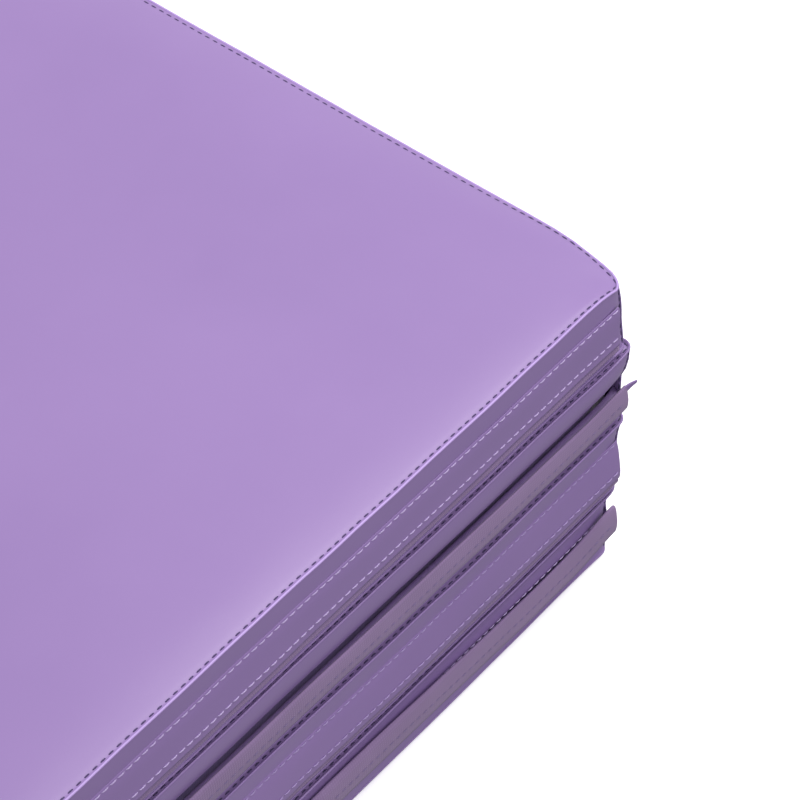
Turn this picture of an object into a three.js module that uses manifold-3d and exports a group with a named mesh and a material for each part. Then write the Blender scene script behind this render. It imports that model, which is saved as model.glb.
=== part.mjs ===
// Folding gymnastics mat, shown folded: four equal foam panels in vinyl covers, stacked as an accordion.
// Millimetres, +Z up. The origin is the centre of the bottom panel's underside. X runs across the panels,
// from one hinge side to the other, Y along them; the zip side faces -Y.
// Panel 1 is on top and panel 4 on the floor. Panels 2 and 4 lie upside down, as the folding leaves them.
import * as THREE from "three";
import { mergeVertices } from "three/addons/utils/BufferGeometryUtils.js";
import Module from "manifold-3d";

const wasm = await Module();
wasm.setup();

// ---- Driving dimensions ----
const PANEL_WIDTH = 600;
const PANEL_LENGTH = 1200;
const PANEL_THICKNESS = 50;
const PANEL_COUNT = 4;
const PANEL_GAP = 0.5; // air between stacked panels
const SKIN = 1; // vinyl sheet
const FIT_GAP = 0.3; // between pieces that are sewn or laid together
const SHEET_CORNER_RADIUS = 4;
const CORNER_STEPS = 6;

// Zip opening in the front wall, measured in the panel's own upright position.
const ZIP_CENTRE_Z = 26.7;
const ZIP_SLOT_HALF = 3.9;
const ZIP_RETURN_DEPTH = 4; // the wall strips turn inwards this far to meet the zip tape
const TAPE_HALF = 12;
const TAPE_THICKNESS = 1;
const COIL_HALF = 1.6;
const ZIP_END_MARGIN = 3;
const CORE_FRONT_SPACE = 5.8; // foam stays behind the zip tape

// Zip slider and pull, measured from the wall's face outwards (negative is inwards).
const SLIDER_PARK_X = -268;
const SLIDER_HALF_LENGTH = 5;
const SLIDER_HALF_WIDTH = 3.4;
const SLIDER_PLATE = [-2.4, -1.4];
const SLIDER_LIP = [-3.6, -2.2];
const SLIDER_LIP_INNER = 2;
const BRIDGE_HALF_WIDTH = 0.8;
const BRIDGE_FROM = -4.2;
const BRIDGE_TO = 3.2;
const BRIDGE_POST = 1;
const BRIDGE_BAR = [0.4, 1.2];
const PULL_AXIS = { x: -0.95, out: -0.5 };
const PULL_HALF_THICKNESS = 0.5;
const PULL_HALF_WIDTH = 2.8;
const PULL_LENGTH = 20;
const PULL_HOLE_LENGTH = 4.55;
const PULL_HOLE_HALF_WIDTH = 1.2;

// Zip flaps. The section is a centre line of [outwards, height] points in the panel's resting position.
const FLAP_THICKNESS = 1.2;
const FLAP_FROM_X = -246;
const FLAP_TO_X = 303;
const HANGING_FLAP = [[1.4, 33.6], [1.4, 32.8], [2.3, 30], [2.3, 8]]; // closed over the zip
const FLOPPED_FLAP_ROOT = { 2: [2.2, 22.5], 4: [2.2, 31] }; // fallen open, hanging in front of the wall
const FLOPPED_FLAP_DROP = 18.5;
const FLOPPED_FLAP_BULGE = 3.6;
const FLOPPED_FLAP_SHIFT = 0.6;
const FLOPPED_FLAP_STEPS = 8;

// Hinge strips, outside the walls at the folds.
const HINGE_STRIP_OUT = [1, 2.2];
const HINGE_STRIP_HALF = 7;
const HINGE_STRIP_END_MARGIN = 10;

// Carry handles on the left side of panels 2 and 3.
const HANDLE_WIDTH = 34;
const HANDLE_THICKNESS = 1.8;
const HANDLE_HALF_LENGTH = 140;
const HANDLE_SEWN = 38; // length sewn down at each end
const HANDLE_RAMP = 46;
const HANDLE_LOW = 1.5; // inner face where it is sewn, outwards from the wall
const HANDLE_HIGH = 6.4; // inner face over the finger gap
const HANDLE_STEPS = 10;
const HANDLE_HEIGHT = { 2: 21.5, 3: 28 }; // centre above that panel's resting underside
const PATCH_THICKNESS = 0.9;
const PATCH_MARGIN = 4;

// Hook and loop joining strips on the free edges of panels 1 and 4.
const JOINING_WIDTH = 34;
const JOINING_THICKNESS = 1.6;
const JOINING_END_MARGIN = 20;

// ---- Materials ----
const paint = (color, roughness, metalness = 0) =>
  () => new THREE.MeshStandardMaterial({ color, roughness, metalness });
const vinyl = paint(0x9f7cc8, 0.35);
const backing = paint(0x9b8fa6, 0.8);
const foam = paint(0xe9e7ee, 0.9);
const tape = paint(0x4b3b78, 0.8);
const metal = paint(0x6f6880, 0.35, 0.9);
const webbing = paint(0x3f2f63, 0.85);
const joining = paint(0x2b2833, 0.95);

const mat = new THREE.Group();

// ---- Frame helpers ----
const HALF_WIDTH = PANEL_WIDTH / 2;
const HALF_LENGTH = PANEL_LENGTH / 2;
const FRONT = -HALF_LENGTH;
const PITCH = PANEL_THICKNESS + PANEL_GAP;
const undersideOf = (n) => (PANEL_COUNT - n) * PITCH;
const isFlipped = (n) => n % 2 === 0;

// Height in the stack of a height in the panel's own upright position.
function stackHeight(n, z) {
  return undersideOf(n) + (isFlipped(n) ? PANEL_THICKNESS - z : z);
}

function addPiece(name, geometry, material) {
  const mesh = new THREE.Mesh(geometry, material());
  mesh.name = name;
  mat.add(mesh);
  return mesh;
}

function boxGeometry(xs, ys, zs) {
  const spans = [xs, ys, zs].map((pair) => [Math.min(...pair), Math.max(...pair)]);
  const [sx, sy, sz] = spans.map(([low, high]) => high - low);
  const [cx, cy, cz] = spans.map(([low, high]) => (low + high) / 2);
  return new THREE.BoxGeometry(sx, sy, sz).translate(cx, cy, cz);
}

// ---- Joining solids ----
function toSolid(geometry) {
  const bare = geometry.clone();
  bare.deleteAttribute("normal");
  bare.deleteAttribute("uv");
  const merged = mergeVertices(bare, 1e-5);
  return new wasm.Manifold(new wasm.Mesh({
    numProp: 3,
    vertProperties: new Float32Array(merged.attributes.position.array),
    triVerts: new Uint32Array(merged.index.array),
  }));
}

function fromSolid(solid) {
  const { numProp, vertProperties, triVerts } = solid.getMesh();
  const positions = new Float32Array((vertProperties.length / numProp) * 3);
  for (let i = 0; i < positions.length / 3; i++) {
    positions.set(vertProperties.subarray(i * numProp, i * numProp + 3), i * 3);
  }
  const geometry = new THREE.BufferGeometry();
  geometry.setAttribute("position", new THREE.BufferAttribute(positions, 3));
  geometry.setIndex(new THREE.BufferAttribute(new Uint32Array(triVerts), 1));
  geometry.computeVertexNormals();
  return geometry;
}

const joined = (geometries) => fromSolid(geometries.map(toSolid).reduce((a, b) => a.add(b)));

// ---- Sections ----
function roundedRectangle(xs, ys, radius) {
  const [[x0, x1], [y0, y1]] = [xs, ys];
  const shape = new THREE.Shape();
  shape.moveTo(x0 + radius, y0);
  shape.lineTo(x1 - radius, y0);
  shape.absarc(x1 - radius, y0 + radius, radius, -Math.PI / 2, 0);
  shape.lineTo(x1, y1 - radius);
  shape.absarc(x1 - radius, y1 - radius, radius, 0, Math.PI / 2);
  shape.lineTo(x0 + radius, y1);
  shape.absarc(x0 + radius, y1 - radius, radius, Math.PI / 2, Math.PI);
  shape.lineTo(x0, y0 + radius);
  shape.absarc(x0 + radius, y0 + radius, radius, Math.PI, Math.PI * 1.5);
  return shape;
}

function slab(xs, ys, zs, radius) {
  const shape = roundedRectangle(xs, ys, radius);
  const depth = Math.abs(zs[1] - zs[0]);
  const options = { depth, bevelEnabled: false, curveSegments: CORNER_STEPS };
  return new THREE.ExtrudeGeometry(shape, options).translate(0, 0, Math.min(...zs));
}

// A front-wall section of [outwards, height] points, drawn along X between two ends.
function alongFront(points, fromX, toX) {
  const shape = new THREE.Shape(points.map(([out, z]) => new THREE.Vector2(out, z)));
  const geometry = new THREE.ExtrudeGeometry(shape, { depth: toX - fromX, bevelEnabled: false });
  const place = new THREE.Matrix4().set(
    0, 0, -1, toX,
    -1, 0, 0, FRONT,
    0, 1, 0, 0,
    0, 0, 0, 1,
  );
  return geometry.applyMatrix4(place);
}

// The outline of a strip of even thickness about a centre line.
function stripOutline(line, thickness) {
  const normals = line.map((_, i) => {
    const a = new THREE.Vector2(...line[Math.max(i - 1, 0)]);
    const b = new THREE.Vector2(...line[Math.min(i + 1, line.length - 1)]);
    const along = b.sub(a).normalize();
    return [along.y, -along.x];
  });
  const side = (sign) => line.map(([u, v], i) => [
    u + (sign * normals[i][0] * thickness) / 2,
    v + (sign * normals[i][1] * thickness) / 2,
  ]);
  return [...side(1), ...side(-1).reverse()];
}

// ---- Cover and foam ----
function addFoamCore(n) {
  const inset = SKIN + FIT_GAP;
  const xs = [-HALF_WIDTH + inset, HALF_WIDTH - inset];
  const ys = [FRONT + CORE_FRONT_SPACE, HALF_LENGTH - inset];
  const zs = [stackHeight(n, inset), stackHeight(n, PANEL_THICKNESS - inset)];
  addPiece(`panel${n}_foam_core`, slab(xs, ys, zs, SHEET_CORNER_RADIUS), foam);
}

function addSheets(n) {
  const xs = [-HALF_WIDTH, HALF_WIDTH];
  const ys = [-HALF_LENGTH, HALF_LENGTH];
  const spans = { top_sheet: [PANEL_THICKNESS - SKIN, PANEL_THICKNESS], bottom_sheet: [0, SKIN] };
  for (const [name, span] of Object.entries(spans)) {
    const zs = span.map((z) => stackHeight(n, z));
    addPiece(`panel${n}_${name}`, slab(xs, ys, zs, SHEET_CORNER_RADIUS), vinyl);
  }
}

function addPlainWalls(n) {
  const inset = SKIN + FIT_GAP;
  const zs = [stackHeight(n, inset), stackHeight(n, PANEL_THICKNESS - inset)];
  const sides = [-HALF_LENGTH, HALF_LENGTH - inset];
  addPiece(`panel${n}_wall_left`, boxGeometry([-HALF_WIDTH, -HALF_WIDTH + SKIN], sides, zs), vinyl);
  addPiece(`panel${n}_wall_right`, boxGeometry([HALF_WIDTH - SKIN, HALF_WIDTH], sides, zs), vinyl);
  const back = [HALF_LENGTH - SKIN, HALF_LENGTH];
  addPiece(`panel${n}_wall_back`, boxGeometry([-HALF_WIDTH, HALF_WIDTH], back, zs), vinyl);
}

// One of the two front-wall strips: a flat band whose edge turns inwards beside the zip.
function frontStripSection(n, outerZ, slotZ) {
  const towardsOuter = Math.sign(outerZ - slotZ);
  const section = [
    [0, outerZ], [0, slotZ], [-ZIP_RETURN_DEPTH, slotZ],
    [-ZIP_RETURN_DEPTH, slotZ + towardsOuter * SKIN],
    [-SKIN, slotZ + towardsOuter * SKIN], [-SKIN, outerZ],
  ];
  return section.map(([out, z]) => [out, stackHeight(n, z)]);
}

function addFrontWall(n) {
  const inset = SKIN + FIT_GAP;
  const top = frontStripSection(n, PANEL_THICKNESS - inset, ZIP_CENTRE_Z + ZIP_SLOT_HALF);
  const bottom = frontStripSection(n, inset, ZIP_CENTRE_Z - ZIP_SLOT_HALF);
  const end = HALF_WIDTH - inset;
  addPiece(`panel${n}_front_strip_top`, alongFront(top, -end, end), vinyl);
  addPiece(`panel${n}_front_strip_bottom`, alongFront(bottom, -end, end), vinyl);
}

// ---- Zip ----
function addZipTape(n) {
  const face = -ZIP_RETURN_DEPTH - FIT_GAP;
  const coil = SLIDER_PLATE[0] - FIT_GAP; // the coil stands up from the tape, under the slider
  const section = [
    [face - TAPE_THICKNESS, -TAPE_HALF], [face, -TAPE_HALF], [face, -COIL_HALF],
    [coil, -COIL_HALF], [coil, COIL_HALF],
    [face, COIL_HALF], [face, TAPE_HALF], [face - TAPE_THICKNESS, TAPE_HALF],
  ].map(([out, z]) => [out, stackHeight(n, ZIP_CENTRE_Z + z)]);
  const end = HALF_WIDTH - ZIP_END_MARGIN;
  addPiece(`panel${n}_zip_tape`, alongFront(section, -end, end), tape);
}

const outwards = (span) => span.map((out) => FRONT - out);

function addZipSlider(n) {
  const z = stackHeight(n, ZIP_CENTRE_Z);
  const x = SLIDER_PARK_X;
  const length = [x - SLIDER_HALF_LENGTH, x + SLIDER_HALF_LENGTH];
  const plateWidth = [z - SLIDER_HALF_WIDTH, z + SLIDER_HALF_WIDTH];
  const bridgeWidth = [z - BRIDGE_HALF_WIDTH, z + BRIDGE_HALF_WIDTH];
  const post = [SLIDER_PLATE[1] - FIT_GAP, BRIDGE_BAR[1]];
  const pieces = [
    boxGeometry(length, outwards(SLIDER_PLATE), plateWidth),
    boxGeometry([x + BRIDGE_FROM, x + BRIDGE_TO], outwards(BRIDGE_BAR), bridgeWidth),
    boxGeometry([x + BRIDGE_FROM, x + BRIDGE_FROM + BRIDGE_POST], outwards(post), bridgeWidth),
    boxGeometry([x + BRIDGE_TO - BRIDGE_POST, x + BRIDGE_TO], outwards(post), bridgeWidth),
  ];
  for (const side of [-1, 1]) {
    const lip = [z + side * SLIDER_LIP_INNER, z + side * SLIDER_HALF_WIDTH];
    pieces.push(boxGeometry(length, outwards(SLIDER_LIP), lip));
  }
  addPiece(`panel${n}_zip_slider`, joined(pieces), metal);
}

// A flat tab with a slot in it, through which the slider's bridge passes.
function addZipPull(n) {
  const z = stackHeight(n, ZIP_CENTRE_Z);
  const end = SLIDER_PARK_X + PULL_AXIS.x + PULL_HALF_THICKNESS;
  const shape = new THREE.Shape();
  shape.moveTo(end, z - PULL_HALF_WIDTH);
  shape.lineTo(end, z + PULL_HALF_WIDTH);
  shape.lineTo(end - PULL_LENGTH + PULL_HALF_WIDTH, z + PULL_HALF_WIDTH);
  shape.absarc(end - PULL_LENGTH + PULL_HALF_WIDTH, z, PULL_HALF_WIDTH, Math.PI / 2, Math.PI * 1.5);
  const slotEnd = end - 2 * PULL_HALF_THICKNESS;
  const slot = new THREE.Path();
  slot.moveTo(slotEnd, z - PULL_HOLE_HALF_WIDTH);
  slot.lineTo(slotEnd - PULL_HOLE_LENGTH, z - PULL_HOLE_HALF_WIDTH);
  slot.lineTo(slotEnd - PULL_HOLE_LENGTH, z + PULL_HOLE_HALF_WIDTH);
  slot.lineTo(slotEnd, z + PULL_HOLE_HALF_WIDTH);
  shape.holes.push(slot);
  const options = { depth: 2 * PULL_HALF_THICKNESS, bevelEnabled: false, curveSegments: CORNER_STEPS };
  const geometry = new THREE.ExtrudeGeometry(shape, options).rotateX(Math.PI / 2);
  geometry.translate(0, FRONT - PULL_AXIS.out + PULL_HALF_THICKNESS, 0);
  addPiece(`panel${n}_zip_pull`, geometry, metal);
}

// The centre line of a flap that has fallen open: it leaves the fold and hangs in a shallow bow.
function floppedFlapLine(n) {
  const [rootOut, rootZ] = FLOPPED_FLAP_ROOT[n];
  const line = [];
  for (let i = 0; i <= FLOPPED_FLAP_STEPS; i++) {
    const t = i / FLOPPED_FLAP_STEPS;
    const bow = Math.sin(Math.PI * t) * FLOPPED_FLAP_BULGE;
    line.push([rootOut + bow + t * FLOPPED_FLAP_SHIFT, rootZ - t * FLOPPED_FLAP_DROP]);
  }
  return line;
}

function addZipFlap(n) {
  const line = isFlipped(n) ? floppedFlapLine(n) : HANGING_FLAP;
  const section = stripOutline(line, FLAP_THICKNESS).map(([out, z]) => [out, z + undersideOf(n)]);
  addPiece(`panel${n}_zip_flap`, alongFront(section, FLAP_FROM_X, FLAP_TO_X), isFlipped(n) ? backing : vinyl);
}

// ---- Hinges, handles and joining strips ----
// side is -1 on the left and 1 on the right; the fold is under panel n.
function addHingeStrip(n, side) {
  const z = undersideOf(n) - PANEL_GAP / 2;
  const xs = HINGE_STRIP_OUT.map((out) => side * (HALF_WIDTH + out));
  const ys = [-HALF_LENGTH + HINGE_STRIP_END_MARGIN, HALF_LENGTH - HINGE_STRIP_END_MARGIN];
  const name = `hinge_strip_${n}_${n + 1}`;
  addPiece(name, boxGeometry(xs, ys, [z - HINGE_STRIP_HALF, z + HINGE_STRIP_HALF]), vinyl);
}

const smooth = (t) => t * t * (3 - 2 * t);

// How far the handle's inner face stands off the wall, at a distance from the handle's end.
function handleStandOff(fromEnd) {
  const t = THREE.MathUtils.clamp((fromEnd - HANDLE_SEWN) / HANDLE_RAMP, 0, 1);
  return HANDLE_LOW + smooth(t) * (HANDLE_HIGH - HANDLE_LOW);
}

function handleStations() {
  const half = [-HANDLE_HALF_LENGTH];
  for (let i = 0; i <= HANDLE_STEPS; i++) {
    half.push(-HANDLE_HALF_LENGTH + HANDLE_SEWN + (HANDLE_RAMP * i) / HANDLE_STEPS);
  }
  return [...half, ...half.map((y) => -y).reverse()];
}

function addHandle(n) {
  const stations = handleStations();
  const standOff = (y) => handleStandOff(HANDLE_HALF_LENGTH - Math.abs(y));
  const inner = stations.map((y) => new THREE.Vector2(-HALF_WIDTH - standOff(y), y));
  const outer = stations.map((y) => new THREE.Vector2(-HALF_WIDTH - standOff(y) - HANDLE_THICKNESS, y));
  const shape = new THREE.Shape([...inner, ...outer.reverse()]);
  const geometry = new THREE.ExtrudeGeometry(shape, { depth: HANDLE_WIDTH, bevelEnabled: false });
  const z = undersideOf(n) + HANDLE_HEIGHT[n];
  addPiece(`carry_handle_${n}`, geometry.translate(0, 0, z - HANDLE_WIDTH / 2), webbing);
  addHandlePatches(n, z);
}

function addHandlePatches(n, z) {
  const xs = [-HALF_WIDTH - FIT_GAP, -HALF_WIDTH - FIT_GAP - PATCH_THICKNESS];
  const half = HANDLE_WIDTH / 2 + PATCH_MARGIN / 2;
  for (const [label, end] of [["front", -1], ["back", 1]]) {
    const outer = end * (HANDLE_HALF_LENGTH + PATCH_MARGIN);
    const ys = [outer, outer - end * (HANDLE_SEWN + PATCH_MARGIN)];
    addPiece(`handle_patch_${n}_${label}`, boxGeometry(xs, ys, [z - half, z + half]), vinyl);
  }
}

function addJoiningStrip(name, n) {
  const xs = [HALF_WIDTH + FIT_GAP, HALF_WIDTH + FIT_GAP + JOINING_THICKNESS];
  const end = HALF_LENGTH - JOINING_END_MARGIN;
  const z = undersideOf(n) + PANEL_THICKNESS / 2;
  addPiece(name, boxGeometry(xs, [-end, end], [z - JOINING_WIDTH / 2, z + JOINING_WIDTH / 2]), joining);
}

// ---- Assembly ----
for (let n = 1; n <= PANEL_COUNT; n++) {
  addFoamCore(n);
  addSheets(n);
  addPlainWalls(n);
  addFrontWall(n);
  addZipTape(n);
  addZipSlider(n);
  addZipPull(n);
  addZipFlap(n);
}
addHingeStrip(1, -1);
addHingeStrip(2, 1);
addHingeStrip(3, -1);
addHandle(2);
addHandle(3);
addJoiningStrip("hook_strip", 1);
addJoiningStrip("loop_strip", 4);

export default mat;
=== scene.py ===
"""Looks of the folding gymnastics mat: soft panel covers, zips, flaps, hinges, handles and stitching.

Lengths named *_MM, and all profiles, are in millimetres; meshes are in metres.
"""

import math

import bpy
import numpy as np
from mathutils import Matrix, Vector


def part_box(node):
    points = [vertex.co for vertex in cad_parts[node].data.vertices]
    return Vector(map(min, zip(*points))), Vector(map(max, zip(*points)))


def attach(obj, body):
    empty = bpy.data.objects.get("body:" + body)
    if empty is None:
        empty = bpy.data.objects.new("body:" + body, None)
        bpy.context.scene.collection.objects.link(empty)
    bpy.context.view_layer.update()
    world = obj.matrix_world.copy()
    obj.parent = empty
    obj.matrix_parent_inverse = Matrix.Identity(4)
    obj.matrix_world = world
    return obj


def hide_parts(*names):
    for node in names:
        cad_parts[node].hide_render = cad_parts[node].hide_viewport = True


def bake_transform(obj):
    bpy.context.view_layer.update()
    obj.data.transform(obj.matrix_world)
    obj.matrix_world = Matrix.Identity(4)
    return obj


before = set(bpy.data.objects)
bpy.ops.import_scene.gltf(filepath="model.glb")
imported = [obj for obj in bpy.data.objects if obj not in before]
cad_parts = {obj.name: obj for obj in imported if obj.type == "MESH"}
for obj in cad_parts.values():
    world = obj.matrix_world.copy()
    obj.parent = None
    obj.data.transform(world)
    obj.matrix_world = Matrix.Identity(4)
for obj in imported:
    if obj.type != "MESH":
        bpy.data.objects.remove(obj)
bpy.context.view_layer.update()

MM = 0.001
PANELS = (1, 2, 3, 4)
FLIPPED = (2, 4)  # these panels lie upside down in the folded stack
THREAD_PITCH_MM = 5.1

# ---- Sizes from the CAD model ----
TOP_SHEET_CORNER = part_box("panel1_top_sheet")[1]
HALF_X = TOP_SHEET_CORNER.x / MM
HALF_Y = TOP_SHEET_CORNER.y / MM


def underside(n):
    """Height of a panel's resting underside, in mm."""
    return min(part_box(f"panel{n}_{side}_sheet")[0].z for side in ("top", "bottom")) / MM


def thickness(n):
    """A panel's thickness, in mm."""
    return max(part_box(f"panel{n}_{side}_sheet")[1].z for side in ("top", "bottom")) / MM - underside(n)


BASE = {n: underside(n) for n in PANELS}
THICK = thickness(1)


def strip_span(n, which):
    """Lowest and highest point of a front strip above the panel's underside, in mm."""
    low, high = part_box(f"panel{n}_front_strip_{which}")
    return low.z / MM - BASE[n], high.z / MM - BASE[n]


def slot_of(n):
    """Lower and upper edge of the zip slot above the panel's underside, in mm."""
    spans = sorted(strip_span(n, which) for which in ("top", "bottom"))
    return spans[0][1], spans[1][0]


# ---- Shape of the covers ----
# How far the front wall stands off its plane, as (height above the underside, stand-off on the left
# half, stand-off near the right corner).
FRONT_PROFILE = {
    1: [(0, 1.5, 2.3), (7, 1.2, 2.2), (15, 1.4, 1.7), (33, 0.6, 1.9), (50, 0.8, 1.6)],
    2: [
        (0, -0.8, 1.5), (12, 0.1, 1.3), (22, 0.6, 1.1), (28, -1.2, 0.8), (32, 0.4, 2.3), (37, 1.4, 3.1),
        (50, 1.9, 3.2),
    ],
    3: [(0, 1.0, 2.3), (15, 1.9, 3.4), (33, 0.2, 1.5), (43, 0.8, 2.6), (50, 1.5, 3.9)],
    4: [
        (0, -0.9, 0.2), (13, -0.6, -0.2), (30, -0.4, -0.4), (36, -2.8, -2.2), (42, -2.4, -1.0),
        (50, 2.0, 2.2),
    ],
}
RIGHT_PROFILE = {
    1: [(0, 0.9), (50, -2.4)],
    2: [(0, 0.6), (50, 2.4)],
    3: [(0, 0.0), (50, 1.0)],
    4: [(0, -2.2), (50, 0.0)],
}
LEFT_PROFILE = {n: [(0, -0.3), (25, 0.0), (50, -0.3)] for n in PANELS}
BACK_PROFILE = {n: [(0, -0.5), (25, 0.3), (50, -0.4)] for n in PANELS}
PLAN_RADIUS_MM = {1: 9.0, 2: 6.5, 3: 7.0, 4: 7.5}
SEAM_DROP_MM = {1: (1.0, 0.6), 2: (1.2, 2.8), 3: (0.8, 0.9), 4: (1.6, 3.6)}  # below and above
CROWN_MM = 2.6  # how far the uppermost face swells above the CAD face
SIDE_ROLL_MM = {1: 3.6, 2: 1.5, 3: 2.0, 4: 1.5}  # the hinge sides' upper seams lie this far down the wall
SIDE_ROLL_WIDTH_MM = 10.0
SIDE_BULGE_MM = 4.4  # the uppermost panel's hinge sides lean out this far at the top
CORNER_SAG_MM, CORNER_TUCK_MM = 4.2, 2.6  # its four upper corners lie this much lower and further in
WALL_SWELL_MM = 0.8
EDGE_STEPS = (0.0, 0.8, 1.7, 2.7, 4.6, 8.0, 14.0, 22.0, 34.0, 46.0, 60.0)
DASH_LINE = 2  # the grid line that the edge stitching follows, in a shallow groove
GROOVE_MM = 0.55
SHEET_MM = 0.9
FADE_MM = 60.0  # a wall's stand-off dies away over this much of the faces beside it
LOWERED_STRIP_MM = 3.5  # a flipped panel's lower front strip ends this far below the zip slot
INFLATE_FRAMES = 20


def smooth(t):
    t = np.clip(t, 0, 1)
    return t * t * (3 - 2 * t)


def waves(seed, u, v, shortest, longest, count=9):
    """Smooth seeded noise between about -1 and 1 over two lengths in mm."""
    rng = np.random.RandomState(seed)
    total = np.zeros(np.broadcast(u, v).shape)
    for _ in range(count):
        length = shortest * (longest / shortest) ** rng.rand()
        angle = rng.rand() * math.tau
        phase = rng.rand() * math.tau
        total += np.sin((u * math.cos(angle) + v * math.sin(angle)) * math.tau / length + phase)
    return total / math.sqrt(2 * count)


def profile(table, n, h, column=1):
    """A column of panel n's profile, read off at height h."""
    rows = list(zip(*table[n]))
    return np.interp(h, rows[0], rows[column])


def front_out(n, x, h):
    """The front wall's stand-off at x and height h above the underside, in mm."""
    right = smooth((x - 20) / 180)
    out = profile(FRONT_PROFILE, n, h, 1) * (1 - right) + profile(FRONT_PROFILE, n, h, 2) * right
    if n == 2:
        out = out + 1.2 * smooth((x - 235) / 60) * smooth((h - 24) / 20)
    return out + 0.22 * waves(10 + n, x, h * 2, 40, 170)


def right_out(n, y, h):
    """The right wall's stand-off, in mm; left_out and back_out give those of the other two."""
    out = profile(RIGHT_PROFILE, n, h) + 0.3 * waves(20 + n, y, h * 2, 50, 260)
    if n == 1:
        out = out + SIDE_BULGE_MM * smooth((HALF_Y - np.abs(y) - 6) / 40) * h / THICK
    return out


def left_out(n, y, h):
    return profile(LEFT_PROFILE, n, h) + 0.15 * waves(30 + n, y, h * 2, 50, 260)


def back_out(n, x, h):
    return profile(BACK_PROFILE, n, h) + 0.25 * waves(40 + n, x, h * 2, 50, 260)


def edge_lines(half, step):
    """Grid lines from -half to half, close together near both ends."""
    near = np.array(EDGE_STEPS)
    inner = half - near[-1]
    middle = np.linspace(-inner, inner, int(round(2 * inner / step)) + 1)
    return np.concatenate([-half + near[:-1], middle, (half - near[:-1])[::-1]])


def height_lines(n):
    """Grid lines up a panel's walls."""
    low, high = slot_of(n)
    zip_lines = [low - LOWERED_STRIP_MM, low, (low + high) / 2, high, high + 6]
    lines = [0, 1.5, 4.5, 9, *zip_lines, 41, 45.5, 48.5, THICK]
    return np.array(sorted(set(round(float(h), 3) for h in lines)))


def lattice(xs, ys, hs):
    """Points on a box's surface at the grid lines, and their index by line numbers."""
    outer = np.zeros((len(xs), len(ys), len(hs)), bool)
    outer[[0, -1]] = outer[:, [0, -1]] = outer[:, :, [0, -1]] = True
    index = np.full(outer.shape, -1)
    index[outer] = np.arange(outer.sum())
    i, j, k = np.nonzero(outer)
    return np.stack([xs[i], ys[j], hs[k]], 1), index


def box_quads(index):
    """Outward-facing quads over the six sides of a lattice."""
    sides = [
        (index[:, :, 0], True), (index[:, :, -1], False), (index[:, 0], False),
        (index[:, -1], True), (index[0], True), (index[-1], False),
    ]
    quads = []
    for ids, flip in sides:
        q = np.stack([ids[:-1, :-1], ids[1:, :-1], ids[1:, 1:], ids[:-1, 1:]], -1).reshape(-1, 4)
        quads.append(q[:, ::-1] if flip else q)
    return np.concatenate(quads)


def round_in_plan(points, radius):
    """Rounds the four upright corners of a box."""
    for sx in (-1, 1):
        for sy in (-1, 1):
            u = (points[:, 0] * sx - (HALF_X - radius)) / radius
            v = (points[:, 1] * sy - (HALF_Y - radius)) / radius
            near = (u > 0) & (v > 0)
            u, v = u[near], v[near]
            points[near, 0] = sx * (HALF_X - radius + radius * u * np.sqrt(1 - v * v / 2))
            points[near, 1] = sy * (HALF_Y - radius + radius * v * np.sqrt(1 - u * u / 2))
    return points


def beside_wall(position, half):
    """1 at the wall at half, dying away over FADE_MM towards the middle."""
    return smooth(1 - (half - position) / FADE_MM)


def designed_cover(n, flat):
    """Where a cover's points lie before it is inflated, in mm above the panel's underside."""
    x, y, h = flat.T
    points = round_in_plan(flat.copy(), PLAN_RADIUS_MM[n])
    points[:, 1] -= front_out(n, x, h) * beside_wall(-y, HALF_Y)
    points[:, 1] += back_out(n, x, h) * beside_wall(y, HALF_Y)
    left = left_out(n, y, h) * beside_wall(-x, HALF_X)
    points[:, 0] += right_out(n, y, h) * beside_wall(x, HALF_X) - left
    below, above = SEAM_DROP_MM[n]
    t = h / THICK
    ripple = 0.2 * waves(50 + n, x, y, 30, 120)
    from_corner = np.hypot(HALF_X - np.abs(x), HALF_Y - np.abs(y))
    spread = 1 - 0.6 * np.exp(-((from_corner / 12) ** 2))
    points[:, 2] = below * spread * (1 - t) + (THICK - above * spread) * t + ripple
    edge = np.clip(1 - (HALF_X - np.abs(x)) / SIDE_ROLL_WIDTH_MM, 0, 1)
    clear_of_corner = smooth((HALF_Y - np.abs(y) - 3) / 24)
    points[:, 2] -= SIDE_ROLL_MM[n] * (1 - np.sqrt(1 - edge**2)) * t**3 * clear_of_corner
    if n == 1:
        sag = np.exp(-((from_corner / 14) ** 2)) * t**2
        points[:, 2] -= CORNER_SAG_MM * sag
        points[:, 0] -= CORNER_TUCK_MM * sag * np.sign(x)
    return points


def wall_inset(flat):
    """How far each wall point starts inside its final place, so that inflating brings it out."""
    h = flat[:, 2] / THICK
    return WALL_SWELL_MM * np.clip(4 * h * (1 - h), 0, 1) ** 0.5


def outward(flat):
    """Unit outward direction of every point, zero on a seam, and which points are on a seam."""
    x, y, h = flat.T
    flags = np.stack([
        (x >= HALF_X - 1e-6).astype(float) - (x <= -HALF_X + 1e-6),
        (y >= HALF_Y - 1e-6).astype(float) - (y <= -HALF_Y + 1e-6),
        (h >= THICK - 1e-6).astype(float) - (h <= 1e-6),
    ], 1)
    on_seam = np.abs(flags).sum(1) > 1
    flags[on_seam] = 0
    return flags, on_seam


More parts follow.
